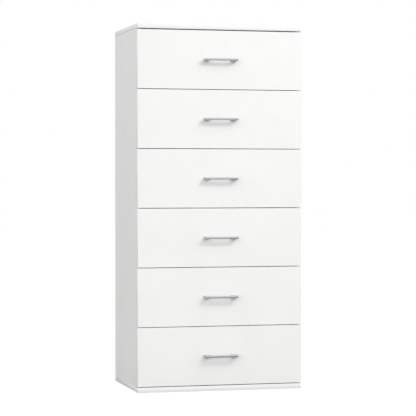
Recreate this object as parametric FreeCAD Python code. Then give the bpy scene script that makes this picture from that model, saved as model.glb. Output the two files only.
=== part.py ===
"""Tall chest of six drawers, modelled piece by piece in millimetres, +Z up.

The origin is the middle of the footprint of the boards, on the floor. +X is to the right of a person
facing the drawers and the drawer fronts face -Y. Drawers are numbered from the top down.
"""
import FreeCAD, Part
import os

from FreeCAD import Vector

# Outer size of the closed chest, without the handles
WIDTH = 600.0
DEPTH = 400.0
HEIGHT = 1300.0

# Boards
CAP_BOARD = 18.0        # top and base panels
SIDE_BOARD = 16.0       # side panels
FRONT_BOARD = 18.0      # drawer fronts
BACK_BOARD = 3.0        # hardboard nailed on the back
BACK_INSET = 2.0        # the hardboard stops this far inside the outer edges

# Drawer fronts
DRAWERS = 6
TOP_GAP = 3.8           # under the top panel
FRONT_GAP = 2.2         # between two fronts
BASE_GAP = 2.6          # above the base panel
FRONT_CLEARANCE = 1.5   # between a closed front and the edges of the side panels

# Drawer boxes
RUNNER_SPACE = 12.5     # between a box and a side panel
BOX_SIDE = 12.0         # thickness of the box sides and back
BOX_HEIGHT = 140.0
BOX_LENGTH = 350.0
BOX_LIFT = 37.0         # underside of the box above the lower edge of its front
BOTTOM_BOARD = 3.0
BOTTOM_LIFT = 10.0      # underside of the bottom board above the underside of the box
GROOVE_DEPTH = 6.0
GROOVE_PLAY = 0.2

# Roller runners, sizes measured from the underside of the box or from the roller's axis
STEEL = 1.0
ROLLER_RADIUS = 8.7
ROLLER_PLAY = 0.3
ROLLER_WIDTH = 6.3
ROLLER_GAP = 1.2        # between the drawer profile and a roller
ROLLER_LIFT = 3.0       # roller axis above the underside of the box
PIN_RADIUS = 2.0
PIN_PLAY = 0.05
RUNNER_END = 14.0       # roller axis from the end of its profile
RUNNER_SETBACK = 2.0    # cabinet profile behind the edge of the side panel
LIP = 3.0               # turned-down edge of the drawer profile
ROOF_RISE = 2.0         # cabinet profile's roof above the roller's free path
SCREW_RADIUS = 1.75
SCREW_HEAD_RADIUS = 3.5
SCREW_HEAD_HEIGHT = 1.2
SCREW_LENGTH = 12.0
RUNNER_SCREWS_Y = (-130.0, 30.0, 130.0)

# Handles
HANDLE_LENGTH = 117.0
HANDLE_HEIGHT = 7.5
HANDLE_REACH = 30.0     # front of the bar from the drawer front
BAR_DEPTH = 6.0
FOOT_WIDTH = 23.0       # foot against the drawer front
LEG_WIDTH = 8.0         # leg where it meets the bar
LEG_FLARE = 1.5         # the foot stands out past the end of the bar
HANDLE_EDGE = 0.8
HANDLE_CENTRES = 96.0
HANDLE_SCREW_RADIUS = 2.0
HANDLE_SCREW_DEPTH = 9.0
HANDLE_HEAD_RADIUS = 4.2
HANDLE_HEAD_HEIGHT = 2.2

# Carcass fittings
CAM_RADIUS = 7.5
CAM_DEPTH = 12.0
CAM_FROM_END = 24.0
BOLT_RADIUS = 3.0
BOLT_IN_PANEL = 11.0
DOWEL_RADIUS = 4.0
DOWEL_LENGTH = 30.0
DOWEL_IN_PANEL = 10.0
FITTING_PLAY = 0.1
CAM_Y = (-140.0, 140.0)
DOWEL_Y = (-100.0, 100.0)
NAIL_RADIUS = 0.8
NAIL_HEAD_RADIUS = 2.0
NAIL_HEAD_HEIGHT = 0.6
NAIL_LENGTH = 20.0
NAILS_UP = 8            # along each side panel
NAILS_ACROSS = 4        # along the top and the base
NAIL_FROM_CAP = 40.0    # first and last nail of a side panel from the top and base panels
NAIL_FROM_SIDE = 120.0  # first and last nail of the top and base from the chest's sides

# Derived places
FRONT_Y = -DEPTH / 2
FRONT_BACK_Y = FRONT_Y + FRONT_BOARD
SIDE_FRONT_Y = FRONT_BACK_Y + FRONT_CLEARANCE
BACK_Y = DEPTH / 2 - BACK_BOARD
SIDE_IN_X = WIDTH / 2 - SIDE_BOARD
SIDE_MID_X = WIDTH / 2 - SIDE_BOARD / 2
BOX_OUT_X = SIDE_IN_X - RUNNER_SPACE
BOX_IN_X = BOX_OUT_X - BOX_SIDE
BOX_BACK_Y = FRONT_BACK_Y + BOX_LENGTH
ROLLER_IN_X = BOX_OUT_X + STEEL + ROLLER_GAP
ROLLER_OUT_X = ROLLER_IN_X + ROLLER_WIDTH
CABINET_PROFILE_Y = SIDE_FRONT_Y + RUNNER_SETBACK
FRONT_ROLLER_Y = CABINET_PROFILE_Y + RUNNER_END
REAR_ROLLER_Y = BOX_BACK_Y - RUNNER_END
FRONT_HEIGHT = (HEIGHT - 2 * CAP_BOARD - TOP_GAP - BASE_GAP - (DRAWERS - 1) * FRONT_GAP) / DRAWERS


def box(x0, x1, y0, y1, z0, z1):
    """A block between two corners."""
    return Part.makeBox(x1 - x0, y1 - y0, z1 - z0, Vector(x0, y0, z0))


def rod(radius, start, direction, length):
    """A round bar from a start point along a direction."""
    return Part.makeCylinder(radius, length, Vector(*start), Vector(*direction))


def mirrored(shape):
    """The same piece on the other side of the chest."""
    return shape.mirror(Vector(0, 0, 0), Vector(1, 0, 0))


def both_sides(shapes):
    """Pieces of the right-hand side, with their twins on the left."""
    return shapes + [mirrored(shape) for shape in shapes]


def write(node, shapes):
    """Write one node's solids to its own file."""
    shape = shapes[0] if len(shapes) == 1 else Part.makeCompound(shapes)
    shape.exportStep("parts/" + node + ".step")


def front_bottom(number):
    """Lower edge of a drawer front; drawer 1 is at the top."""
    return CAP_BOARD + BASE_GAP + (DRAWERS - number) * (FRONT_HEIGHT + FRONT_GAP)


def end_fittings(play, tip_play):
    """Bolts and dowels that join the right side panel to the top and the base, as rods."""
    bolts = []
    dowels = []
    for edge, out in ((HEIGHT - CAP_BOARD, 1), (CAP_BOARD, -1)):
        for y in CAM_Y:
            inner = CAM_FROM_END - CAM_RADIUS
            start = (SIDE_MID_X, y, edge - out * inner)
            bolts.append(rod(BOLT_RADIUS + play, start, (0, 0, out), inner + BOLT_IN_PANEL + tip_play))
        for y in DOWEL_Y:
            inner = DOWEL_LENGTH - DOWEL_IN_PANEL + tip_play
            start = (SIDE_MID_X, y, edge - out * inner)
            length = inner + DOWEL_IN_PANEL + tip_play
            dowels.append(rod(DOWEL_RADIUS + play, start, (0, 0, out), length))
    return bolts, dowels


def cam_discs(play):
    """Cam discs let into the inner face of the right side panel."""
    discs = []
    for z in (HEIGHT - CAP_BOARD - CAM_FROM_END, CAP_BOARD + CAM_FROM_END):
        for y in CAM_Y:
            start = (SIDE_IN_X, y, z)
            discs.append(rod(CAM_RADIUS + play, start, (1, 0, 0), CAM_DEPTH + play))
    return discs


def nail_places():
    """Places (x, z) of the nails around the edge of the hardboard back."""
    places = []
    for k in range(NAILS_UP):
        lowest = CAP_BOARD + NAIL_FROM_CAP
        z = lowest + k * (HEIGHT - 2 * lowest) / (NAILS_UP - 1)
        places += [(SIDE_MID_X, z), (-SIDE_MID_X, z)]
    for k in range(NAILS_ACROSS):
        x = (k / (NAILS_ACROSS - 1) - 0.5) * (WIDTH - 2 * NAIL_FROM_SIDE)
        places += [(x, HEIGHT - CAP_BOARD / 2), (x, CAP_BOARD / 2)]
    return places


def nail(place, radius, head_radius):
    """One nail, shank and head, driven forwards from the outer face of the back."""
    x, z = place
    shank = rod(radius, (x, DEPTH / 2, z), (0, -1, 0), NAIL_LENGTH)
    head = rod(head_radius, (x, DEPTH / 2 - NAIL_HEAD_HEIGHT, z), (0, 1, 0), NAIL_HEAD_HEIGHT)
    return shank.fuse(head)


def runner_screws(box_z, radius, head_radius):
    """Screws of the right-hand cabinet profile of one drawer."""
    screws = []
    for y in RUNNER_SCREWS_Y:
        start = (SIDE_IN_X - STEEL, y, box_z + ROLLER_LIFT)
        shank = rod(radius, start, (1, 0, 0), SCREW_LENGTH)
        if head_radius:
            shank = shank.fuse(rod(head_radius, start, (-1, 0, 0), SCREW_HEAD_HEIGHT))
        screws.append(shank)
    return screws


def make_carcass():
    """The fixed boards and their fittings."""
    bolts, dowels = end_fittings(0.0, 0.0)
    bolt_holes, dowel_holes = end_fittings(FITTING_PLAY, FITTING_PLAY)
    places = nail_places()
    nail_holes = [nail(place, NAIL_RADIUS + FITTING_PLAY, NAIL_HEAD_RADIUS + FITTING_PLAY)
                  for place in places]

    side = box(SIDE_IN_X, WIDTH / 2, SIDE_FRONT_Y, BACK_Y, CAP_BOARD, HEIGHT - CAP_BOARD)
    screw_holes = []
    for number in range(1, DRAWERS + 1):
        box_z = front_bottom(number) + BOX_LIFT
        screw_holes += runner_screws(box_z, SCREW_RADIUS + FITTING_PLAY, 0.0)
    side = side.cut(bolt_holes + dowel_holes + cam_discs(FITTING_PLAY) + screw_holes)
    left_side = mirrored(side)
    cap = box(-WIDTH / 2, WIDTH / 2, FRONT_Y, BACK_Y, 0, CAP_BOARD)
    top = cap.translated(Vector(0, 0, HEIGHT - CAP_BOARD))
    all_holes = both_sides(bolt_holes + dowel_holes) + nail_holes
    back = box(-WIDTH / 2 + BACK_INSET, WIDTH / 2 - BACK_INSET, BACK_Y, DEPTH / 2,
               BACK_INSET, HEIGHT - BACK_INSET)

    write("top_panel", [top.cut(all_holes)])
    write("base_panel", [cap.cut(all_holes)])
    write("right_side_panel", [side.cut(nail_holes)])
    write("left_side_panel", [left_side.cut(nail_holes)])
    write("back_panel", [back.cut(nail_holes)])
    write("back_nails", [nail(place, NAIL_RADIUS, NAIL_HEAD_RADIUS) for place in places])
    write("cam_discs", both_sides(cam_discs(0.0)))
    write("cam_bolts", both_sides(bolts))
    write("carcass_dowels", both_sides(dowels))


def cabinet_profile(box_z):
    """Right-hand cabinet profile: channel with its riveted roller pin, holes for the screws."""
    axis_z = box_z + ROLLER_LIFT
    floor_z = axis_z - ROLLER_RADIUS - ROLLER_PLAY
    roof_z = axis_z + ROLLER_RADIUS + ROLLER_PLAY + ROOF_RISE
    y0 = CABINET_PROFILE_Y
    y1 = y0 + BOX_LENGTH
    web = box(SIDE_IN_X - STEEL, SIDE_IN_X, y0, y1, floor_z - STEEL, roof_z + STEEL)
    floor = box(ROLLER_IN_X, SIDE_IN_X - STEEL, y0, y1, floor_z - STEEL, floor_z)
    roof = box(ROLLER_IN_X + STEEL, SIDE_IN_X - STEEL, y0, y1, roof_z, roof_z + STEEL)
    pin = rod(PIN_RADIUS, (ROLLER_IN_X + STEEL / 2, FRONT_ROLLER_Y, axis_z), (1, 0, 0),
              SIDE_IN_X - STEEL - ROLLER_IN_X)
    profile = web.fuse([floor, roof, pin]).removeSplitter()
    return profile.cut(runner_screws(box_z, SCREW_RADIUS + FITTING_PLAY, 0.0))


def drawer_profile(box_z):
    """Right-hand drawer profile: wraps the lower edge of the box side and carries the rear pin."""
    axis_z = box_z + ROLLER_LIFT
    rail_z = axis_z + ROLLER_RADIUS + ROLLER_PLAY
    y0 = FRONT_BACK_Y
    y1 = BOX_BACK_Y
    web_x = BOX_OUT_X + STEEL
    rail_x = ROLLER_OUT_X + ROLLER_PLAY + STEEL
    foot = box(BOX_IN_X, web_x, y0, y1, box_z - STEEL, box_z)
    web = box(BOX_OUT_X, web_x, y0, y1, box_z, rail_z + STEEL)
    rail = box(web_x, rail_x, y0, y1, rail_z, rail_z + STEEL)
    lip = box(rail_x - STEEL, rail_x, y0, y1, rail_z - LIP, rail_z)
    pin = rod(PIN_RADIUS, (web_x, REAR_ROLLER_Y, axis_z), (1, 0, 0), ROLLER_OUT_X - web_x)
    return foot.fuse([web, rail, lip, pin]).removeSplitter()


def roller(axis_y, axis_z):
    """Right-hand nylon roller with its bore."""
    start = (ROLLER_IN_X, axis_y, axis_z)
    body = rod(ROLLER_RADIUS, start, (1, 0, 0), ROLLER_WIDTH)
    return body.cut(rod(PIN_RADIUS + PIN_PLAY, start, (1, 0, 0), ROLLER_WIDTH))


def prism_z(points, z0, z1):
    """An upright prism over a flat outline of (x, y) points."""
    corners = [Vector(x, y, z0) for x, y in points]
    return Part.Face(Part.makePolygon(corners + corners[:1])).extrude(Vector(0, 0, z1 - z0))


def handle(centre_z):
    """Straight bar on two feet that widen towards the drawer front, cut as one outline."""
    bar_y = FRONT_Y - HANDLE_REACH
    bar_in_y = bar_y + BAR_DEPTH
    end = HANDLE_LENGTH / 2
    right = [(end - HANDLE_EDGE, bar_y), (end, bar_y + HANDLE_EDGE), (end + LEG_FLARE, FRONT_Y),
             (end + LEG_FLARE - FOOT_WIDTH, FRONT_Y), (end - LEG_WIDTH, bar_in_y)]
    left = [(-x, y) for x, y in reversed(right)]
    z0 = centre_z - HANDLE_HEIGHT / 2
    bow = prism_z(right + left, z0, z0 + HANDLE_HEIGHT)
    front_edges = [edge for edge in bow.Edges if edge.BoundBox.YMax < bar_y + 0.01
                   and edge.BoundBox.XLength > LEG_WIDTH]
    return bow.makeFillet(HANDLE_EDGE, front_edges)


def handle_screws(centre_z, play):
    """The two machine screws of a handle, from inside the drawer."""
    screws = []
    for x in (-HANDLE_CENTRES / 2, HANDLE_CENTRES / 2):
        start = (x, FRONT_BACK_Y, centre_z)
        shank = rod(HANDLE_SCREW_RADIUS + play, start, (0, -1, 0), FRONT_BOARD + HANDLE_SCREW_DEPTH + play)
        if not play:
            shank = shank.fuse(rod(HANDLE_HEAD_RADIUS, start, (0, 1, 0), HANDLE_HEAD_HEIGHT))
        screws.append(shank)
    return screws


def make_drawer(number):
    """One drawer: front, box, handle, profiles and its two pairs of rollers."""
    name = "drawer_%d_" % number
    front_z = front_bottom(number)
    centre_z = front_z + FRONT_HEIGHT / 2
    box_z = front_z + BOX_LIFT
    bottom_z = box_z + BOTTOM_LIFT
    axis_z = box_z + ROLLER_LIFT
    groove_x = BOX_IN_X + GROOVE_DEPTH
    groove = box(-groove_x - GROOVE_PLAY, groove_x + GROOVE_PLAY, FRONT_BACK_Y - GROOVE_DEPTH,
                 BOX_BACK_Y, bottom_z - GROOVE_PLAY, bottom_z + BOTTOM_BOARD + GROOVE_PLAY)

    front = box(-WIDTH / 2, WIDTH / 2, FRONT_Y, FRONT_BACK_Y, front_z, front_z + FRONT_HEIGHT)
    screw_holes = handle_screws(centre_z, FITTING_PLAY)
    side = box(BOX_IN_X, BOX_OUT_X, FRONT_BACK_Y, BOX_BACK_Y, box_z, box_z + BOX_HEIGHT)
    back = box(-BOX_IN_X, BOX_IN_X, BOX_BACK_Y - BOX_SIDE, BOX_BACK_Y,
               bottom_z + BOTTOM_BOARD, box_z + BOX_HEIGHT)
    bottom = box(-groove_x, groove_x, FRONT_BACK_Y - GROOVE_DEPTH + GROOVE_PLAY, BOX_BACK_Y,
                 bottom_z, bottom_z + BOTTOM_BOARD)

    write(name + "front", [front.cut([groove] + screw_holes)])
    write(name + "sides", both_sides([side.cut(groove)]))
    write(name + "back", [back])
    write(name + "bottom", [bottom])
    write(name + "handle", [handle(centre_z).cut(screw_holes)] + handle_screws(centre_z, 0.0))
    write(name + "runners", both_sides([drawer_profile(box_z)]))
    write(name + "rear_rollers", both_sides([roller(REAR_ROLLER_Y, axis_z)]))
    write(name + "front_rollers", both_sides([roller(FRONT_ROLLER_Y, axis_z)]))


def make_cabinet_runners():
    """All cabinet profiles and their screws."""
    profiles = []
    screws = []
    for number in range(1, DRAWERS + 1):
        box_z = front_bottom(number) + BOX_LIFT
        profiles.append(cabinet_profile(box_z))
        screws += runner_screws(box_z, SCREW_RADIUS, SCREW_HEAD_RADIUS)
    write("cabinet_runners", both_sides(profiles))
    write("runner_screws", both_sides(screws))


os.makedirs("parts", exist_ok=True)
make_carcass()
make_cabinet_runners()
for drawer_number in range(1, DRAWERS + 1):
    make_drawer(drawer_number)
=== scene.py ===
"""Looks of a tall chest of six drawers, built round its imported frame.

The boards that show are rebuilt with their edging, the handles, rollers, screws and cam discs are
modelled in full, and the box boards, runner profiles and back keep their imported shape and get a
finish. Lengths are metres, +Z is up and the drawer fronts face -Y.
"""

import logging
import math
from dataclasses import dataclass
from enum import Enum
from typing import Any, Iterable, Sequence

import bmesh
import bpy
from mathutils import Matrix, Vector


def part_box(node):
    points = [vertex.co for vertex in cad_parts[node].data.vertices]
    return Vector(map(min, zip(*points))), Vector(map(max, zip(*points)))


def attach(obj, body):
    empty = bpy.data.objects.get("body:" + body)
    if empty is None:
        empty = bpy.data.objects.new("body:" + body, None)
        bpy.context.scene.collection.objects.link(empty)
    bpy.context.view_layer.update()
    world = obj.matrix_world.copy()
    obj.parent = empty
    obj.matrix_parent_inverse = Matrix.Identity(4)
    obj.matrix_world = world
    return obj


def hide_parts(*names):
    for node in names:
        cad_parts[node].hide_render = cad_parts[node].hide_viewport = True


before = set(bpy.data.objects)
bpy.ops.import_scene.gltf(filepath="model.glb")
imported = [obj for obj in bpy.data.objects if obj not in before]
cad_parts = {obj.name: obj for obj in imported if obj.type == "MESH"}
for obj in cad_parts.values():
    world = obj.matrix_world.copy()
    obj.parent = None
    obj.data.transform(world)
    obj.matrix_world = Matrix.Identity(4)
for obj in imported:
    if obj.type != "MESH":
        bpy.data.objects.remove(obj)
log = logging.getLogger("chest")

MM = 0.001
DRAWERS = 6
CARCASS = "carcass"
CREASE = math.radians(40)       # faces that meet at more than this are shaded with a sharp edge
ALONG = 0.9                     # a normal with more than this of an axis looks along the axis
ACROSS = 0.1                    # a normal with less than this of an axis looks across the axis


# ---------------------------------------------------------------- colours and shader nodes

def linear(hex_code: str) -> tuple[float, float, float, float]:
    """Turn an sRGB hex colour into the linear colour that a shader takes.

    Args:
        hex_code: Six hex digits, with or without a leading #.

    Returns:
        Red, green, blue and an alpha of 1.
    """
    digits = hex_code.lstrip("#")
    channels = [int(digits[k:k + 2], 16) / 255 for k in (0, 2, 4)]
    light = [c / 12.92 if c <= 0.04045 else ((c + 0.055) / 1.055) ** 2.4 for c in channels]
    return light[0], light[1], light[2], 1.0


def add_node(tree: bpy.types.NodeTree, kind: str, inputs: dict[Any, Any] | None = None,
             **settings: Any) -> bpy.types.Node:
    """Add a shader node with its settings, socket values and links.

    Args:
        tree: The node tree that gets the node.
        kind: The node's type name.
        inputs: Socket name or number to a value, or to the output socket that feeds it.
        settings: Properties of the node.

    Returns:
        The new node.
    """
    node = tree.nodes.new(kind)
    for name, value in settings.items():
        setattr(node, name, value)
    for socket, value in (inputs or {}).items():
        if isinstance(value, bpy.types.NodeSocket):
            tree.links.new(value, node.inputs[socket])
        else:
            node.inputs[socket].default_value = value
    return node


def ramp(node: bpy.types.Node, stops: Sequence[tuple[float, tuple[float, float, float, float]]]) -> None:
    """Give a colour ramp its two or more stops.

    Args:
        node: The colour ramp node.
        stops: Position and colour of each stop, in order.
    """
    elements = node.color_ramp.elements
    while len(elements) < len(stops):
        elements.new(1.0)
    for element, (position, colour) in zip(elements, stops):
        element.position = position
        element.color = colour


# ---------------------------------------------------------------- finishes

@dataclass(frozen=True)
class Finish:
    """A surface finish: makes its material once and hands the same one to every piece."""

    name: str

    def material(self) -> bpy.types.Material:
        """Return the finish's material, made the first time it is asked for."""
        found = bpy.data.materials.get(self.name)
        if found:
            return found
        made = bpy.data.materials.new(self.name)
        made.use_nodes = True
        tree = made.node_tree
        tree.nodes.clear()
        shader = add_node(tree, "ShaderNodeBsdfPrincipled")
        add_node(tree, "ShaderNodeOutputMaterial", {"Surface": shader.outputs["BSDF"]})
        place = add_node(tree, "ShaderNodeTexCoord").outputs["Object"]
        self.paint(tree, shader, place)
        return made

    def paint(self, tree: bpy.types.NodeTree, shader: bpy.types.Node,
              place: bpy.types.NodeSocket) -> None:
        """Fill in the shader. Each kind of finish has its own.

        Args:
            tree: The material's node tree.
            shader: Its Principled shader.
            place: Object coordinates, in metres.
        """
        raise NotImplementedError


def bump(tree: bpy.types.NodeTree, shader: bpy.types.Node, height: bpy.types.NodeSocket,
         depth: float, strength: float) -> None:
    """Press a height pattern into a shader's normal.

    Args:
        tree: The material's node tree.
        shader: The shader that gets the normal.
        height: The pattern, 0 low to 1 high.
        depth: Height difference in metres.
        strength: Share of the bump that is applied.
    """
    pressed = add_node(tree, "ShaderNodeBump", {"Height": height, "Distance": depth, "Strength": strength})
    tree.links.new(pressed.outputs["Normal"], shader.inputs["Normal"])


@dataclass(frozen=True)
class PearlMelamine(Finish):
    """White melamine-faced chipboard, hot-pressed against a pearl-textured plate.

    The resin paper gives an even white with a satin sheen, broken by a very fine orange-peel grain
    and a hardly visible cloudiness of the paper.
    """

    colour: str = "#EEEEED"
    cloud_colour: str = "#ECECEB"
    cloud: float = 120 * MM
    grain: float = 0.9 * MM         # the real pearl is nearer 0.4 mm and wouldn't show
    grain_depth: float = 0.03 * MM
    relief: float = 0.6            # share of the bump that is applied
    roughness: float = 0.46
    roughness_spread: float = 0.05

    def paint(self, tree: bpy.types.NodeTree, shader: bpy.types.Node,
              place: bpy.types.NodeSocket) -> None:
        """Cloudy white, pearl grain and a satin sheen."""
        clouds = add_node(tree, "ShaderNodeTexNoise",
                          {"Vector": place, "Scale": 1 / self.cloud, "Detail": 3.0})
        tone = add_node(tree, "ShaderNodeValToRGB", {"Fac": clouds.outputs["Fac"]})
        ramp(tone, [(0.35, linear(self.cloud_colour)), (0.65, linear(self.colour))])
        grain = add_node(tree, "ShaderNodeTexNoise",
                         {"Vector": place, "Scale": 1 / self.grain, "Detail": 2.0, "Roughness": 0.6})
        sheen = add_node(tree, "ShaderNodeMapRange",
                         {"Value": grain.outputs["Fac"], "To Min": self.roughness - self.roughness_spread,
                          "To Max": self.roughness + self.roughness_spread})
        tree.links.new(tone.outputs["Color"], shader.inputs["Base Color"])
        tree.links.new(sheen.outputs["Result"], shader.inputs["Roughness"])
        bump(tree, shader, grain.outputs["Fac"], self.grain_depth, self.relief)


@dataclass(frozen=True)
class AbsEdging(Finish):
    """Extruded white ABS edging, glued on and milled flush.

    Smoother and a touch glossier than the board's face, with faint lines along the strip.
    """

    colour: str = "#EFEFEE"
    line_colour: str = "#EBEBEB"
    line: float = 2.5 * MM
    line_depth: float = 0.02 * MM
    relief: float = 0.4            # share of the bump that is applied
    roughness: float = 0.36

    def paint(self, tree: bpy.types.NodeTree, shader: bpy.types.Node,
              place: bpy.types.NodeSocket) -> None:
        """Even white with faint milling lines."""
        lines = add_node(tree, "ShaderNodeTexNoise",
                         {"Vector": place, "Scale": 1 / self.line, "Detail": 1.0})
        tone = add_node(tree, "ShaderNodeValToRGB", {"Fac": lines.outputs["Fac"]})
        ramp(tone, [(0.3, linear(self.line_colour)), (0.6, linear(self.colour))])
        tree.links.new(tone.outputs["Color"], shader.inputs["Base Color"])
        shader.inputs["Roughness"].default_value = self.roughness
        bump(tree, shader, lines.outputs["Fac"], self.line_depth, self.relief)


@dataclass(frozen=True)
class RawChipboard(Finish):
    """Sawn chipboard core, pressed from wood chips and glue.

    Pale tan with lighter and darker flakes a few millimetres long, dull and slightly rough.
    """

    dark_colour: str = "#A98A62"
    middle_colour: str = "#C7AC83"
    light_colour: str = "#DCC7A3"
    flake: float = 2.6 * MM
    flatness: float = 2.2
    flake_depth: float = 0.25 * MM
    relief: float = 0.5            # share of the bump that is applied
    roughness: float = 0.85

    def paint(self, tree: bpy.types.NodeTree, shader: bpy.types.Node,
              place: bpy.types.NodeSocket) -> None:
        """Flattened flakes of three tones."""
        pressed = add_node(tree, "ShaderNodeMapping",
                           {"Vector": place, "Scale": (1.0, 1.0, self.flatness)})
        flakes = add_node(tree, "ShaderNodeTexVoronoi",
                          {"Vector": pressed.outputs["Vector"], "Scale": 1 / self.flake})
        shade = add_node(tree, "ShaderNodeSeparateColor", {"Color": flakes.outputs["Color"]})
        tone = add_node(tree, "ShaderNodeValToRGB", {"Fac": shade.outputs["Red"]})
        ramp(tone, [(0.1, linear(self.dark_colour)), (0.5, linear(self.middle_colour)),
                    (0.9, linear(self.light_colour))])
        tree.links.new(tone.outputs["Color"], shader.inputs["Base Color"])
        shader.inputs["Roughness"].default_value = self.roughness
        bump(tree, shader, flakes.outputs["Distance"], self.flake_depth, self.relief)


@dataclass(frozen=True)
class FoilWrap(Finish):
    """Drawer-box board wrapped in white paper foil.

    Flatter and duller than melamine, with the wood grain embossed in the foil hardly showing.
    """

    colour: str = "#E9E9E6"
    grain_colour: str = "#E2E2DF"
    grain: float = 5.0 * MM
    stretch: float = 0.06
    grain_depth: float = 0.05 * MM
    relief: float = 0.4            # share of the bump that is applied
    roughness: float = 0.55

    def paint(self, tree: bpy.types.NodeTree, shader: bpy.types.Node,
              place: bpy.types.NodeSocket) -> None:
        """Fine pores drawn out along the boards."""
        drawn = add_node(tree, "ShaderNodeMapping",
                         {"Vector": place, "Scale": (self.stretch, self.stretch, 1.0)})
        pores = add_node(tree, "ShaderNodeTexNoise",
                         {"Vector": drawn.outputs["Vector"], "Scale": 1 / self.grain, "Detail": 6.0,
                          "Roughness": 0.65})
        tone = add_node(tree, "ShaderNodeValToRGB", {"Fac": pores.outputs["Fac"]})
        ramp(tone, [(0.35, linear(self.grain_colour)), (0.6, linear(self.colour))])
        tree.links.new(tone.outputs["Color"], shader.inputs["Base Color"])
        shader.inputs["Roughness"].default_value = self.roughness
        bump(tree, shader, pores.outputs["Fac"], self.grain_depth, self.relief)


@dataclass(frozen=True)
class LacqueredHardboard(Finish):
    """Wet-pressed hardboard, roller-lacquered white on the face towards the inside.

    The lacquer is even and slightly glossy. The other face is bare brown fibre with the print of
    the press screen, which the eye reads as a fine square mesh.
    """

    bare_side: tuple[float, float, float]
    lacquer_colour: str = "#E8E8E4"
    fibre_colour: str = "#8E6B47"
    fibre_light: str = "#A88560"
    fibre: float = 7.0 * MM
    mesh: float = 3.0 * MM          # the real screen is nearer 1 mm and wouldn't show
    mesh_depth: float = 0.2 * MM
    relief: float = 0.5            # share of the bump that is applied
    lacquer_roughness: float = 0.38
    fibre_roughness: float = 0.8

    def paint(self, tree: bpy.types.NodeTree, shader: bpy.types.Node,
              place: bpy.types.NodeSocket) -> None:
        """White lacquer, and bare fibre on the faces that look to the bare side."""
        normal = add_node(tree, "ShaderNodeNewGeometry").outputs["Normal"]
        facing = add_node(tree, "ShaderNodeVectorMath", {0: normal, 1: self.bare_side},
                          operation="DOT_PRODUCT")
        bare = add_node(tree, "ShaderNodeMath", {0: facing.outputs["Value"], 1: 0.5},
                        operation="GREATER_THAN").outputs["Value"]
        fibres = add_node(tree, "ShaderNodeTexNoise",
                          {"Vector": place, "Scale": 1 / self.fibre, "Detail": 8.0, "Roughness": 0.7})
        brown = add_node(tree, "ShaderNodeValToRGB", {"Fac": fibres.outputs["Fac"]})
        ramp(brown, [(0.3, linear(self.fibre_colour)), (0.7, linear(self.fibre_light))])
        colour = add_node(tree, "ShaderNodeMix",
                          {0: bare, 6: linear(self.lacquer_colour), 7: brown.outputs["Color"]},
                          data_type="RGBA")
        roughness = add_node(tree, "ShaderNodeMapRange",
                             {"Value": bare, "To Min": self.lacquer_roughness,
                              "To Max": self.fibre_roughness})
        turned = add_node(tree, "ShaderNodeVectorMath",
                          {0: place, "Scale": 2 * math.pi / self.mesh}, operation="SCALE")
        axes = add_node(tree, "ShaderNodeSeparateXYZ", {"Vector": turned.outputs["Vector"]})
        across = add_node(tree, "ShaderNodeMath", {0: axes.outputs["X"]}, operation="SINE")
        up = add_node(tree, "ShaderNodeMath", {0: axes.outputs["Z"]}, operation="SINE")
        print_height = add_node(tree, "ShaderNodeMath",
                                {0: across.outputs["Value"], 1: up.outputs["Value"]},
                                operation="MAXIMUM")
        mesh_height = add_node(tree, "ShaderNodeMath",
                               {0: print_height.outputs["Value"], 1: bare}, operation="MULTIPLY")
        tree.links.new(colour.outputs[2], shader.inputs["Base Color"])
        tree.links.new(roughness.outputs["Result"], shader.inputs["Roughness"])
        bump(tree, shader, mesh_height.outputs["Value"], self.mesh_depth, self.relief)


@dataclass(frozen=True)
class SatinMetal(Finish):
    """Metal with a soft, even sheen, and a fine texture that breaks it up."""

    colour: str
    dull_colour: str
    roughness: float
    roughness_spread: float
    grain: float
    grain_depth: float
    stretch: tuple[float, float, float] = (1.0, 1.0, 1.0)
    metallic: float = 1.0
    relief: float = 0.5            # share of the bump that is applied

    def paint(self, tree: bpy.types.NodeTree, shader: bpy.types.Node,
              place: bpy.types.NodeSocket) -> None:
        """Metal whose tone and sheen vary slightly with the grain."""
        drawn = add_node(tree, "ShaderNodeMapping", {"Vector": place, "Scale": self.stretch})
        grain = add_node(tree, "ShaderNodeTexNoise",
                         {"Vector": drawn.outputs["Vector"], "Scale": 1 / self.grain, "Detail": 4.0})
        tone = add_node(tree, "ShaderNodeValToRGB", {"Fac": grain.outputs["Fac"]})
        ramp(tone, [(0.3, linear(self.dull_colour)), (0.7, linear(self.colour))])
        sheen = add_node(tree, "ShaderNodeMapRange",
                         {"Value": grain.outputs["Fac"], "To Min": self.roughness - self.roughness_spread,
                          "To Max": self.roughness + self.roughness_spread})
        tree.links.new(tone.outputs["Color"], shader.inputs["Base Color"])
        tree.links.new(sheen.outputs["Result"], shader.inputs["Roughness"])
        shader.inputs["Metallic"].default_value = self.metallic
        bump(tree, shader, grain.outputs["Fac"], self.grain_depth, self.relief)


@dataclass(frozen=True)
class MouldedOrCoated(Finish):
    """Opaque plastic or powder coat: one colour with a slight orange peel."""

    colour: str
    shade_colour: str
    roughness: float
    peel: float
    peel_depth: float
    ior: float = 1.5
    relief: float = 0.5            # share of the bump that is applied

    def paint(self, tree: bpy.types.NodeTree, shader: bpy.types.Node,
              place: bpy.types.NodeSocket) -> None:
        """One colour that drifts slightly, over an orange-peel bump."""
        peel = add_node(tree, "ShaderNodeTexNoise",
                        {"Vector": place, "Scale": 1 / self.peel, "Detail": 2.0})
        tone = add_node(tree, "ShaderNodeValToRGB", {"Fac": peel.outputs["Fac"]})
        ramp(tone, [(0.3, linear(self.shade_colour)), (0.7, linear(self.colour))])
        tree.links.new(tone.outputs["Color"], shader.inputs["Base Color"])
        shader.inputs["Roughness"].default_value = self.roughness
        shader.inputs["IOR"].default_value = self.ior
        bump(tree, shader, peel.outputs["Fac"], self.peel_depth, self.relief)


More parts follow.
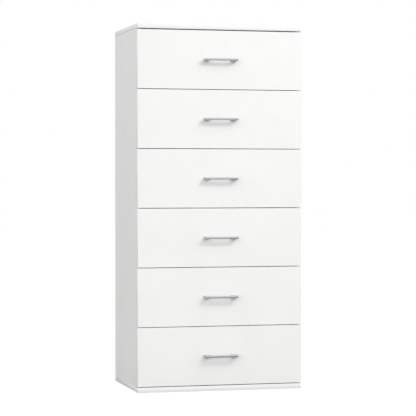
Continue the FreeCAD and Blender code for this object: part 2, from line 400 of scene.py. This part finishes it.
@dataclass(frozen=True)
class FlutedBeech(Finish):
    """Turned and fluted beech dowel: pale pinkish wood with short dark flecks."""

    colour: str = "#CFA778"
    fleck_colour: str = "#A87C50"
    fleck: float = 1.5 * MM
    stretch: float = 0.25
    roughness: float = 0.7

    def paint(self, tree: bpy.types.NodeTree, shader: bpy.types.Node,
              place: bpy.types.NodeSocket) -> None:
        """Flecks drawn out along the dowels."""
        drawn = add_node(tree, "ShaderNodeMapping",
                         {"Vector": place, "Scale": (1.0, 1.0, self.stretch)})
        flecks = add_node(tree, "ShaderNodeTexNoise",
                          {"Vector": drawn.outputs["Vector"], "Scale": 1 / self.fleck, "Detail": 5.0})
        tone = add_node(tree, "ShaderNodeValToRGB", {"Fac": flecks.outputs["Fac"]})
        ramp(tone, [(0.35, linear(self.fleck_colour)), (0.55, linear(self.colour))])
        tree.links.new(tone.outputs["Color"], shader.inputs["Base Color"])
        shader.inputs["Roughness"].default_value = self.roughness


MELAMINE = PearlMelamine("pearl_white_melamine")
EDGING = AbsEdging("white_abs_edging")
CHIPBOARD = RawChipboard("sawn_chipboard")
FOIL = FoilWrap("white_paper_foil")
BACK_HARDBOARD = LacqueredHardboard("hardboard_back_lacquered_inside", bare_side=(0.0, 1.0, 0.0))
BOTTOM_HARDBOARD = LacqueredHardboard("hardboard_bottom_lacquered_inside", bare_side=(0.0, 0.0, -1.0))
# Die-cast zinc lacquered to look like satin aluminium: a soft grey sheen with no brush marks.
HANDLE_METAL = SatinMetal("satin_aluminium_lacquer", colour="#C2C3C5", dull_colour="#BCBDBF",
                          roughness=0.38, roughness_spread=0.04, grain=0.8 * MM, grain_depth=0.01 * MM)
# Blue-passivated zinc plate on steel screws and cams: bright, slightly blotchy.
ZINC = SatinMetal("bright_zinc_plate", colour="#C9CCD0", dull_colour="#A9ADB2",
                  roughness=0.32, roughness_spread=0.1, grain=3.0 * MM, grain_depth=0.01 * MM)
# Drawn wire nails: bright steel with lines along the shank.
NAIL_STEEL = SatinMetal("drawn_steel_wire", colour="#B4B5B7", dull_colour="#98999B",
                        roughness=0.3, roughness_spread=0.08, grain=0.6 * MM, grain_depth=0.01 * MM,
                        stretch=(1.0, 0.1, 1.0))
# Epoxy powder coat on roll-formed steel: creamy white, glossy orange peel.
POWDER_COAT = MouldedOrCoated("white_powder_coat", colour="#E6E6E1", shade_colour="#DEDED9",
                              roughness=0.33, peel=2.0 * MM, peel_depth=0.04 * MM)
# Injection-moulded nylon: milky, faintly yellow and waxy.
NYLON = MouldedOrCoated("moulded_nylon", colour="#DEDCD2", shade_colour="#D4D2C8",
                        roughness=0.42, peel=1.2 * MM, peel_depth=0.02 * MM, ior=1.53)
BEECH = FlutedBeech("fluted_beech")


# ---------------------------------------------------------------- meshes

class Side(Enum):
    """The sides of a board that can carry edging, as axis number and direction."""

    LEFT = (0, -1)
    RIGHT = (0, 1)
    FRONT = (1, -1)
    UNDER = (2, -1)
    OVER = (2, 1)


def finish_piece(mesh_data: bmesh.types.BMesh, name: str, body: str,
                 finishes: Sequence[Finish], smooth: bool = False) -> bpy.types.Object:
    """Turn a finished bmesh into a piece that rides on a body.

    Args:
        mesh_data: The geometry, in place in the row frame. It is freed.
        name: The piece's name.
        body: The body that it rides on.
        finishes: Finishes by material number.
        smooth: Whether its faces are shaded smooth between sharp edges.

    Returns:
        The new object.
    """
    mesh = bpy.data.meshes.new(name)
    mesh_data.to_mesh(mesh)
    mesh_data.free()
    for finish in finishes:
        mesh.materials.append(finish.material())
    piece = bpy.data.objects.new(name, mesh)
    bpy.context.scene.collection.objects.link(piece)
    if smooth:
        mesh.shade_smooth()
        mesh.set_sharp_from_angle(angle=CREASE)
    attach(piece, body)
    log.info("%s: %d faces, on %s", name, len(mesh.polygons), body)
    return piece


def add_block(mesh_data: bmesh.types.BMesh, low: Vector, high: Vector) -> list[bmesh.types.BMVert]:
    """Add a block between two corners and return its eight vertices.

    Args:
        mesh_data: The bmesh that gets the block.
        low: Lowest corner.
        high: Highest corner.

    Returns:
        The block's vertices.
    """
    place = Matrix.Translation((low + high) / 2) @ Matrix.Diagonal((*(high - low), 1.0))
    return bmesh.ops.create_cube(mesh_data, size=1.0, matrix=place)["verts"]


def round_edges(mesh_data: bmesh.types.BMesh, edges: Iterable[bmesh.types.BMEdge], radius: float,
                segments: int = 2) -> None:
    """Round some edges.

    Args:
        mesh_data: The bmesh that holds the edges.
        edges: Edges to round.
        radius: Width of the rounding.
        segments: Faces across it.
    """
    bmesh.ops.bevel(mesh_data, geom=list(edges), offset=radius, offset_type="OFFSET", affect="EDGES",
                    segments=segments, profile=0.5, material=-1, clamp_overlap=True)


def dress(node: str, finish: Finish) -> None:
    """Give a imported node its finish.

    Args:
        node: The node's name.
        finish: The finish for all of it.
    """
    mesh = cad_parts[node].data
    mesh.materials.clear()
    mesh.materials.append(finish.material())
    log.info("%s: packed shape, %s", node, finish.name)


@dataclass
class EdgedBoard:
    """A chipboard board with glued edging on the edges that show.

    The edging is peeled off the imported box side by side, and what is left is the board.
    """

    node: str
    body: str
    thickness_axis: int
    banded: tuple[Side, ...]
    band: float = 0.8 * MM
    band_radius: float = 0.6 * MM
    seam: float = 0.12 * MM
    joint: float = 0.0              # hairline left open at the upper and lower end

    def build(self) -> None:
        """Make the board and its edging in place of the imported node."""
        low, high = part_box(self.node)
        low.z, high.z = low.z + self.joint, high.z - self.joint
        strips = bmesh.new()
        for side in self.banded:
            low, high = self.peel(strips, side, low, high)
        core = bmesh.new()
        add_block(core, low, high)
        rims = [e for e in core.edges
                if abs((e.verts[1].co - e.verts[0].co)[self.thickness_axis]) < self.band]
        round_edges(core, rims, self.seam, segments=1)
        for face in core.faces:
            edge_face = abs(face.normal[self.thickness_axis]) < ACROSS
            face.material_index = 1 if edge_face else 0
        board = finish_piece(core, self.node + "_board", self.body, (MELAMINE, CHIPBOARD))
        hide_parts(self.node)
        finish_piece(strips, self.node + "_edging", self.body, (EDGING,), smooth=True)

    def peel(self, strips: bmesh.types.BMesh, side: Side, low: Vector,
             high: Vector) -> tuple[Vector, Vector]:
        """Add one strip of edging and return what is left of the board.

        Args:
            strips: The bmesh of the edging.
            side: The side that the strip covers.
            low: Lowest corner of the board so far.
            high: Highest corner of the board so far.

        Returns:
            The lowest and highest corner of what is left.
        """
        axis, way = side.value
        strip_low, strip_high = low.copy(), high.copy()
        left_low, left_high = low.copy(), high.copy()
        if way > 0:
            strip_low[axis] = left_high[axis] = high[axis] - self.band
            outer = high[axis]
        else:
            strip_high[axis] = left_low[axis] = low[axis] + self.band
            outer = low[axis]
        corners = add_block(strips, strip_low, strip_high)
        outer_edges = {e for v in corners for e in v.link_edges
                       if all(abs(w.co[axis] - outer) < self.band / 4 for w in e.verts)}
        round_edges(strips, outer_edges, self.band_radius)
        return left_low, left_high


@dataclass
class CrossHead:
    """A screw or cam head with a cross recess, pointing along +Z with its rim's foot at z = 0."""

    radius: float
    height: float
    dome: float
    arm: float
    slot: float
    depth: float
    shank_radius: float = 0.0
    shank_length: float = 0.0
    corners: int = 12
    crown: float = 0.72             # share of the radius where the crown turns down to the rim
    crown_drop: float = 0.25        # share of the dome that it has dropped by there

    def mesh(self, name: str) -> bpy.types.Mesh:
        """Return the head, with its shank if it has one, modelled the first time it is asked for.

        Args:
            name: Name of the template mesh.

        Returns:
            A mesh to be placed any number of times.
        """
        found = bpy.data.meshes.get(name)
        if found:
            return found
        head = bmesh.new()
        bmesh.ops.create_grid(head, x_segments=3, y_segments=3, size=1.0)
        for vert in head.verts:
            for axis in (0, 1):
                half = self.arm / 2 if abs(vert.co[axis]) > 0.5 else self.slot / 2
                vert.co[axis] = math.copysign(half, vert.co[axis])
            vert.co.z = self.height
        recess = [f for f in head.faces if min(map(abs, f.calc_center_median().xy)) < self.slot / 4]
        sunk = bmesh.ops.extrude_face_region(head, geom=recess)["geom"]
        sunk_verts = [g for g in sunk if isinstance(g, bmesh.types.BMVert)]
        bmesh.ops.translate(head, verts=sunk_verts, vec=(0, 0, -self.depth))
        if all(f.is_valid for f in recess):
            bmesh.ops.delete(head, geom=recess, context="FACES_ONLY")
        square = [e for e in head.edges if e.is_boundary]
        turn = Matrix.Rotation(math.pi / 4, 4, "Z")
        lift = Matrix.Translation((0, 0, self.height - self.dome * self.crown_drop))
        ring = bmesh.ops.create_circle(head, segments=self.corners, radius=self.radius * self.crown,
                                       matrix=lift @ turn)["verts"]
        ring_edges = list({e for v in ring for e in v.link_edges})
        bmesh.ops.bridge_loops(head, edges=square + ring_edges)
        ring_edges = self.step(head, ring_edges, self.radius, self.height - self.dome)
        ring_edges = self.step(head, ring_edges, self.radius, 0.0)
        foot = bmesh.ops.contextual_create(head, geom=ring_edges)["faces"]
        if self.shank_length:
            bmesh.ops.inset_individual(head, faces=foot, thickness=self.radius - self.shank_radius)
            shank = bmesh.ops.extrude_discrete_faces(head, faces=foot)["faces"]
            bmesh.ops.translate(head, verts=shank[0].verts, vec=(0, 0, -self.shank_length))
        bmesh.ops.recalc_face_normals(head, faces=head.faces)
        template = bpy.data.meshes.new(name)
        head.to_mesh(template)
        head.free()
        return template

    @staticmethod
    def step(head: bmesh.types.BMesh, edges: list[bmesh.types.BMEdge], radius: float,
             height: float) -> list[bmesh.types.BMEdge]:
        """Draw a ring of edges out to a radius and height.

        Args:
            head: The head's bmesh.
            edges: The ring.
            radius: The new ring's radius.
            height: The new ring's height.

        Returns:
            The new ring's edges.
        """
        drawn = bmesh.ops.extrude_edge_only(head, edges=edges)["geom"]
        for vert in (g for g in drawn if isinstance(g, bmesh.types.BMVert)):
            flat = Vector((vert.co.x, vert.co.y, 0)).normalized() * radius
            vert.co = flat + Vector((0, 0, height))
        return [g for g in drawn if isinstance(g, bmesh.types.BMEdge)]


def scatter(template: bpy.types.Mesh, places: Iterable[Matrix]) -> bmesh.types.BMesh:
    """Put copies of a template mesh at several places.

    Args:
        template: The mesh to copy.
        places: One matrix for each copy.

    Returns:
        A bmesh with all the copies.
    """
    group = bmesh.new()
    for place in places:
        first = len(group.verts)
        group.from_mesh(template)
        group.verts.ensure_lookup_table()
        bmesh.ops.transform(group, matrix=place, verts=group.verts[first:])
    return group


def facing(point: Sequence[float], direction: Sequence[float]) -> Matrix:
    """A matrix that stands a +Z template at a point, looking along a direction.

    Args:
        point: Where the template's origin goes.
        direction: Where its +Z goes.

    Returns:
        The matrix.
    """
    turn = Vector((0, 0, 1)).rotation_difference(Vector(direction).normalized())
    return Matrix.Translation(point) @ turn.to_matrix().to_4x4()


# ---------------------------------------------------------------- the object's parts

HANDLE_SCREW = CrossHead(radius=4.2 * MM, height=2.2 * MM, dome=0.9 * MM, arm=4.4 * MM, slot=1.0 * MM,
                         depth=1.3 * MM, shank_radius=1.9 * MM, shank_length=24 * MM)
RUNNER_SCREW = CrossHead(radius=3.5 * MM, height=1.2 * MM, dome=0.5 * MM, arm=3.6 * MM, slot=0.9 * MM,
                         depth=0.8 * MM, shank_radius=1.6 * MM, shank_length=11 * MM)
BOX_SCREW = CrossHead(radius=3.4 * MM, height=0.4 * MM, dome=0.15 * MM, arm=4.0 * MM, slot=1.1 * MM,
                      depth=0.3 * MM, shank_radius=2.4 * MM, shank_length=30 * MM)
CAM_DISC = CrossHead(radius=7.5 * MM, height=12.2 * MM, dome=0.3 * MM, arm=7.0 * MM, slot=1.6 * MM,
                     depth=2.5 * MM)
BOX_CAM = CrossHead(radius=7.5 * MM, height=9.2 * MM, dome=0.3 * MM, arm=7.0 * MM, slot=1.6 * MM,
                    depth=2.5 * MM)


@dataclass
class BowHandle:
    """A straight bar on two feet that widen towards the drawer front."""

    drawer: int
    length: float = 117 * MM
    height: float = 7.5 * MM
    reach: float = 30 * MM
    bar_depth: float = 6 * MM
    foot: float = 23 * MM
    leg: float = 8 * MM
    flare: float = 1.5 * MM
    edge: float = 0.25 * MM
    edge_angle: float = math.radians(20)    # edges that turn by more than this are rounded
    screw_spacing: float = 96 * MM

    def build(self) -> None:
        """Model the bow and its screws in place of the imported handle."""
        name = f"drawer_{self.drawer}"
        low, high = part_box(name + "_handle")
        centre_z = (low.z + high.z) / 2
        front_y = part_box(name + "_front")[0].y
        inner_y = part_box(name + "_front")[1].y
        bow = self.bow(front_y, centre_z)
        piece = finish_piece(bow, name + "_handle_bow", name, (HANDLE_METAL,), smooth=True)
        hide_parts(name + "_handle")
        template = HANDLE_SCREW.mesh("handle_screw_template")
        places = [facing((x, inner_y, centre_z), (0, 1, 0))
                  for x in (-self.screw_spacing / 2, self.screw_spacing / 2)]
        finish_piece(scatter(template, places), name + "_handle_screws", name, (ZINC,), smooth=True)

    def bow(self, front_y: float, centre_z: float) -> bmesh.types.BMesh:
        """Model the bow: a bar whose ends are drawn back to the feet.

        Args:
            front_y: Face of the drawer front.
            centre_z: Height of the bar's middle.

        Returns:
            The finished bow.
        """
        bow = bmesh.new()
        bar_back = front_y - self.reach + self.bar_depth
        half = Vector((self.length / 2, 0, self.height / 2))
        add_block(bow, Vector((-half.x, front_y - self.reach, centre_z - half.z)),
                  Vector((half.x, bar_back, centre_z + half.z)))
        for way in (-1, 1):
            cut = Vector((way * (half.x - self.leg), 0, 0))
            bmesh.ops.bisect_plane(bow, geom=bow.verts[:] + bow.edges[:] + bow.faces[:], plane_co=cut,
                                   plane_no=(1, 0, 0))
        ends = [f for f in bow.faces
                if f.normal.y > ALONG and abs(f.calc_center_median().x) > half.x - self.leg]
        for end in bmesh.ops.extrude_discrete_faces(bow, faces=ends)["faces"]:
            way = math.copysign(1, end.calc_center_median().x)
            for vert in end.verts:
                outer = abs(vert.co.x) > half.x - self.leg / 2
                foot_x = half.x + self.flare if outer else half.x + self.flare - self.foot
                vert.co = Vector((way * foot_x, front_y, vert.co.z))
        sharp = [e for e in bow.edges
                 if len(e.link_faces) == 2 and e.calc_face_angle() > self.edge_angle]
        round_edges(bow, sharp, self.edge)
        return bow


@dataclass
class Roller:
    """A moulded roller with a recessed face, its bore round a riveted pin."""

    node: str
    body: str
    head_body: str
    head_outward: bool
    bore: float = 2.05 * MM
    hub: float = 4.0 * MM
    rim: float = 6.6 * MM
    recess: float = 1.2 * MM
    edge: float = 0.6 * MM
    head_radius: float = 3.1 * MM
    head_tip: float = 2.3 * MM
    head_height: float = 0.6 * MM
    head_corners: int = 16
    width: float = 6.3 * MM
    steps: int = 32

    def build(self) -> None:
        """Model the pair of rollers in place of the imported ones, and the heads of their pins."""
        low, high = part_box(self.node)
        axis = (low + high) / 2
        radius = (high.z - low.z) / 2
        inner_x, outer_x = high.x - self.width, high.x
        pair = bmesh.new()
        heads = bmesh.new()
        for way in (-1, 1):
            self.spin(pair, axis, way, inner_x, outer_x, radius)
            self.rivet(heads, axis, way, outer_x if self.head_outward else inner_x)
        bmesh.ops.recalc_face_normals(pair, faces=pair.faces)
        bmesh.ops.recalc_face_normals(heads, faces=heads.faces)
        rollers = finish_piece(pair, self.node + "_turned", self.body, (NYLON,),
                               smooth=True)
        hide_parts(self.node)
        finish_piece(heads, self.node + "_pin_heads", self.head_body, (ZINC,), smooth=True)

    def spin(self, pair: bmesh.types.BMesh, axis: Vector, way: int, inner_x: float, outer_x: float,
             radius: float) -> None:
        """Spin one roller's section round its axis.

        Args:
            pair: The bmesh that gets the roller.
            axis: A point on the axis.
            way: 1 for the right side and -1 for the left.
            inner_x: Face towards the drawer box.
            outer_x: Face towards the side panel.
            radius: Radius of the tread.
        """
        section = [(inner_x, self.bore), (inner_x, self.hub), (inner_x + self.recess, self.hub),
                   (inner_x + self.recess, self.rim), (inner_x, self.rim), (inner_x, radius - self.edge),
                   (inner_x + self.edge, radius), (outer_x - self.edge, radius),
                   (outer_x, radius - self.edge), (outer_x, self.rim), (outer_x - self.recess, self.rim),
                   (outer_x - self.recess, self.hub), (outer_x, self.hub), (outer_x, self.bore)]
        verts = [pair.verts.new((way * x, axis.y, axis.z + r)) for x, r in section]
        edges = [pair.edges.new((a, b)) for a, b in zip(verts, verts[1:] + verts[:1])]
        bmesh.ops.spin(pair, geom=verts + edges, cent=(0, axis.y, axis.z), axis=(1, 0, 0),
                       angle=2 * math.pi, steps=self.steps, use_merge=True, use_duplicate=False)

    def rivet(self, heads: bmesh.types.BMesh, axis: Vector, way: int, face_x: float) -> None:
        """Add the peened head at a pin's free end.

        Args:
            heads: The bmesh that gets the head.
            axis: A point on the axis.
            way: 1 for the right side and -1 for the left.
            face_x: The roller's face that the head holds.
        """
        out = way if self.head_outward else -way
        centre = Vector((way * face_x + out * self.head_height / 2, axis.y, axis.z))
        bmesh.ops.create_cone(heads, cap_ends=True, segments=self.head_corners,
                              radius1=self.head_radius, radius2=self.head_tip, depth=self.head_height,
                              matrix=facing(centre, (out, 0, 0)))


@dataclass
class Carcass:
    """The fixed boards, back, cabinet runners and fittings."""

    cam_height: float = 24 * MM
    cam_y: tuple[float, ...] = (-140 * MM, 140 * MM)
    runner_screw_y: tuple[float, ...] = (-130 * MM, 30 * MM, 130 * MM)
    runner_steel: float = 1.0 * MM
    cam_depth: float = 12 * MM
    hairline: float = 0.3 * MM      # between a side panel and the top or the base

    def build(self) -> None:
        """Build all the pieces that don't move."""
        for node in ("top_panel", "base_panel"):
            EdgedBoard(node, CARCASS, 2, (Side.LEFT, Side.RIGHT, Side.FRONT)).build()
        for node in ("left_side_panel", "right_side_panel"):
            EdgedBoard(node, CARCASS, 0, (Side.FRONT,), joint=self.hairline).build()
        dress("back_panel", BACK_HARDBOARD)
        dress("back_nails", NAIL_STEEL)
        dress("cabinet_runners", POWDER_COAT)
        dress("cam_bolts", ZINC)
        dress("carcass_dowels", BEECH)
        self.cams()
        self.runner_screws()

    def cams(self) -> None:
        """Cam discs in the side panels' inner faces, a hair proud of them."""
        low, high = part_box("left_side_panel")
        places = []
        for way in (-1, 1):
            bed_x = way * (abs(high.x) + self.cam_depth)
            for z in (low.z + self.cam_height, high.z - self.cam_height):
                places += [facing((bed_x, y, z), (-way, 0, 0)) for y in self.cam_y]
        template = CAM_DISC.mesh("cam_disc_template")
        discs = finish_piece(scatter(template, places), "carcass_cam_discs", CARCASS, (ZINC,),
                             smooth=True)
        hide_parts("cam_discs")

    def runner_screws(self) -> None:
        """Pan-head screws that hold the cabinet profiles."""
        web_x = abs(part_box("left_side_panel")[1].x) - self.runner_steel
        places = []
        for number in range(1, DRAWERS + 1):
            low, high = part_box(f"drawer_{number}_front_rollers")
            for way in (-1, 1):
                places += [facing((way * web_x, y, (low.z + high.z) / 2), (-way, 0, 0))
                           for y in self.runner_screw_y]
        template = RUNNER_SCREW.mesh("runner_screw_template")
        screws = finish_piece(scatter(template, places), "cabinet_runner_screws", CARCASS, (ZINC,),
                              smooth=True)
        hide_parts("runner_screws")


@dataclass
class Drawer:
    """One drawer: edged front, foil-wrapped box, handle, profiles, rollers and fittings."""

    number: int
    cam_from_front: float = 24 * MM
    cam_z: tuple[float, ...] = (45 * MM, 105 * MM)
    box_screw_z: tuple[float, ...] = (40 * MM, 110 * MM)
    back_middle: float = 6 * MM
    cam_bed: float = 9 * MM

    def build(self) -> None:
        """Build all the pieces of the drawer."""
        name = f"drawer_{self.number}"
        EdgedBoard(name + "_front", name, 1, (Side.LEFT, Side.RIGHT, Side.UNDER, Side.OVER)).build()
        for part in ("_sides", "_back"):
            dress(name + part, FOIL)
        dress(name + "_bottom", BOTTOM_HARDBOARD)
        dress(name + "_runners", POWDER_COAT)
        BowHandle(self.number).build()
        Roller(name + "_rear_rollers", name + "_rear_rollers", name, head_outward=True).build()
        Roller(name + "_front_rollers", name + "_front_rollers", CARCASS, head_outward=False).build()
        self.fittings(name)

    def fittings(self, name: str) -> None:
        """Cam discs inside the box sides, and screws from outside into the box back.

        Args:
            name: The drawer's name.
        """
        low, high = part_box(name + "_sides")
        inner_x = abs(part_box(name + "_back")[1].x)
        cams = []
        screws = []
        for way in (-1, 1):
            cams += [facing((way * (inner_x + self.cam_bed), low.y + self.cam_from_front, low.z + z),
                            (-way, 0, 0)) for z in self.cam_z]
            screws += [facing((way * high.x, high.y - self.back_middle, low.z + z), (way, 0, 0))
                       for z in self.box_screw_z]
        disc = BOX_CAM.mesh("box_cam_template")
        finish_piece(scatter(disc, cams), name + "_box_cams", name, (ZINC,), smooth=True)
        screw = BOX_SCREW.mesh("box_screw_template")
        finish_piece(scatter(screw, screws), name + "_box_screws", name, (ZINC,), smooth=True)


# ---------------------------------------------------------------- studio

@dataclass(frozen=True)
class SoftBox:
    """A square soft box that points at a place on the chest."""

    name: str
    place: tuple[float, float, float]
    aim: tuple[float, float, float]
    power: float
    size: float
    mirrored: bool = False          # whether metal and lacquer reflect it

    def build(self) -> None:
        """Hang the light."""
        data = bpy.data.lights.new(self.name, "AREA")
        data.energy = self.power
        data.size = self.size
        light = bpy.data.objects.new(self.name, data)
        light.location = self.place
        aim = Vector(self.aim) - Vector(self.place)
        light.rotation_euler = aim.to_track_quat("-Z", "Y").to_euler()
        light.visible_glossy = self.mirrored
        bpy.context.scene.collection.objects.link(light)


@dataclass
class Studio:
    """Pale floor, white surroundings, soft boxes and the camera."""

    camera_place: tuple[float, float, float] = (-1.5934, -6.2211, 0.7469)
    camera_turn: float = math.radians(14.421)
    camera_tilt: float = math.radians(-0.897)
    focal_widths: float = 4.2173        # focal length in image widths
    sensor: float = 36.0                # millimetres, as Blender takes it
    view_distance: float = 100.0
    boxes: tuple[SoftBox, ...] = (
        SoftBox("key_above_right", (1.3, -2.25, 2.35), (0.0, -0.2, 0.65), power=20.8, size=0.6),
        SoftBox("high_right", (1.0, -1.9, 3.0), (0.0, -0.2, 0.65), power=4.0, size=1.2),
        SoftBox("low_front", (0.3, -3.4, 0.35), (0.0, 0.0, 0.4), power=7.0, size=1.6, mirrored=True),
        SoftBox("fill_left", (-2.4, -3.2, 0.7), (-0.2, 0.0, 0.5), power=22.8, size=1.6, mirrored=True))
    surround: float = 1.58
    sky: tuple[tuple[float, float], ...] = ((-0.1, 0.06), (0.25, 1.0), (0.6, 1.0), (0.8, 0.35), (1.0, 0.2))
    floor_radius: float = 3.0
    floor_shade: float = 0.22
    bounce_height: float = -1.0 * MM     # the disc that bounces light lies just below the white one
    white_height: float = -0.5 * MM
    white_shade: float = 0.15
    white_glow: float = 0.9
    backdrop_radius: float = 40.0

    def build(self) -> None:
        """Set up the floor, the light and the camera."""
        self.camera()
        for box in self.boxes:
            box.build()
        self.world()
        self.floor()
        bpy.context.scene.view_settings.view_transform = "Standard"

    def camera(self) -> None:
        """A long lens to the front left, a little over half the chest's height."""
        data = bpy.data.cameras.new("camera")
        data.sensor_width = self.sensor
        data.lens = self.sensor * self.focal_widths
        data.clip_end = self.view_distance
        camera = bpy.data.objects.new("camera", data)
        camera.location = self.camera_place
        camera.rotation_euler = (math.pi / 2 + self.camera_tilt, 0.0, -self.camera_turn)
        bpy.context.scene.collection.objects.link(camera)
        bpy.context.scene.camera = camera

    def world(self) -> None:
        """White surroundings: dim below the horizon, bright above it and less so overhead."""
        world = bpy.data.worlds.new("studio")
        world.use_nodes = True
        tree = world.node_tree
        direction = add_node(tree, "ShaderNodeTexCoord").outputs["Generated"]
        height = add_node(tree, "ShaderNodeSeparateXYZ", {"Vector": direction}).outputs["Z"]
        place = add_node(tree, "ShaderNodeMapRange", {"Value": height, "From Min": -1.0})
        shade = add_node(tree, "ShaderNodeValToRGB", {"Fac": place.outputs["Result"]})
        ramp(shade, [((z + 1) / 2, (grey, grey, grey, 1.0)) for z, grey in self.sky])
        background = tree.nodes["Background"]
        background.inputs["Strength"].default_value = self.surround
        tree.links.new(shade.outputs["Color"], background.inputs["Color"])
        bpy.context.scene.world = world

    def floor(self) -> None:
        """The floor: one disc that bounces light, and a white one and a backdrop for the camera."""
        self.stage_disc("floor_bounce", self.floor_radius, self.bounce_height, self.floor_shade, 0.0,
                        seen=False)
        self.stage_disc("floor", self.backdrop_radius / 2, self.white_height, self.white_shade,
                        self.white_glow, seen=True)
        ball = bmesh.new()
        bmesh.ops.create_uvsphere(ball, u_segments=32, v_segments=16, radius=self.backdrop_radius)
        self.stage_piece(ball, "backdrop", 0.0, 1.0, seen=True)

    def stage_disc(self, name: str, radius: float, height: float, shade: float, glow: float,
                   seen: bool) -> None:
        """Add a flat round stage piece.

        Args:
            name: Its name.
            radius: Its radius.
            height: Its height over the floor's plane.
            shade: How much light it reflects.
            glow: How much light it gives by itself.
            seen: Whether the camera sees it. If so, it doesn't light anything.
        """
        disc = bmesh.new()
        bmesh.ops.create_circle(disc, cap_ends=True, segments=64, radius=radius,
                                matrix=Matrix.Translation((0, 0, height)))
        self.stage_piece(disc, name, shade, glow, seen)

    @staticmethod
    def stage_piece(mesh_data: bmesh.types.BMesh, name: str, shade: float, glow: float, seen: bool) -> None:
        """Turn a bmesh into a stage piece.

        Args:
            mesh_data: The geometry. It is freed.
            name: Its name.
            shade: How much light it reflects.
            glow: How much light it gives by itself.
            seen: Whether the camera sees it. If so, it doesn't light anything.
        """
        mesh = bpy.data.meshes.new(name)
        mesh_data.to_mesh(mesh)
        mesh_data.free()
        paint = bpy.data.materials.new("studio_white_" + name)
        paint.use_nodes = True
        shader = paint.node_tree.nodes["Principled BSDF"]
        shader.inputs["Base Color"].default_value = (shade, shade, shade, 1.0)
        shader.inputs["Roughness"].default_value = 1.0
        shader.inputs["Specular IOR Level"].default_value = 0.0
        shader.inputs["Emission Color"].default_value = (1.0, 1.0, 1.0, 1.0)
        shader.inputs["Emission Strength"].default_value = glow
        mesh.materials.append(paint)
        piece = bpy.data.objects.new(name, mesh)
        piece.visible_camera = seen
        piece.visible_diffuse = not seen
        piece.visible_glossy = not seen
        piece.visible_shadow = not seen
        bpy.context.scene.collection.objects.link(piece)


def main() -> None:
    logging.basicConfig(level=logging.INFO, format="%(message)s")
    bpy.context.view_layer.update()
    Carcass().build()
    for number in range(1, DRAWERS + 1):
        Drawer(number).build()
    Studio().build()


if __name__ == "__main__":
    main()
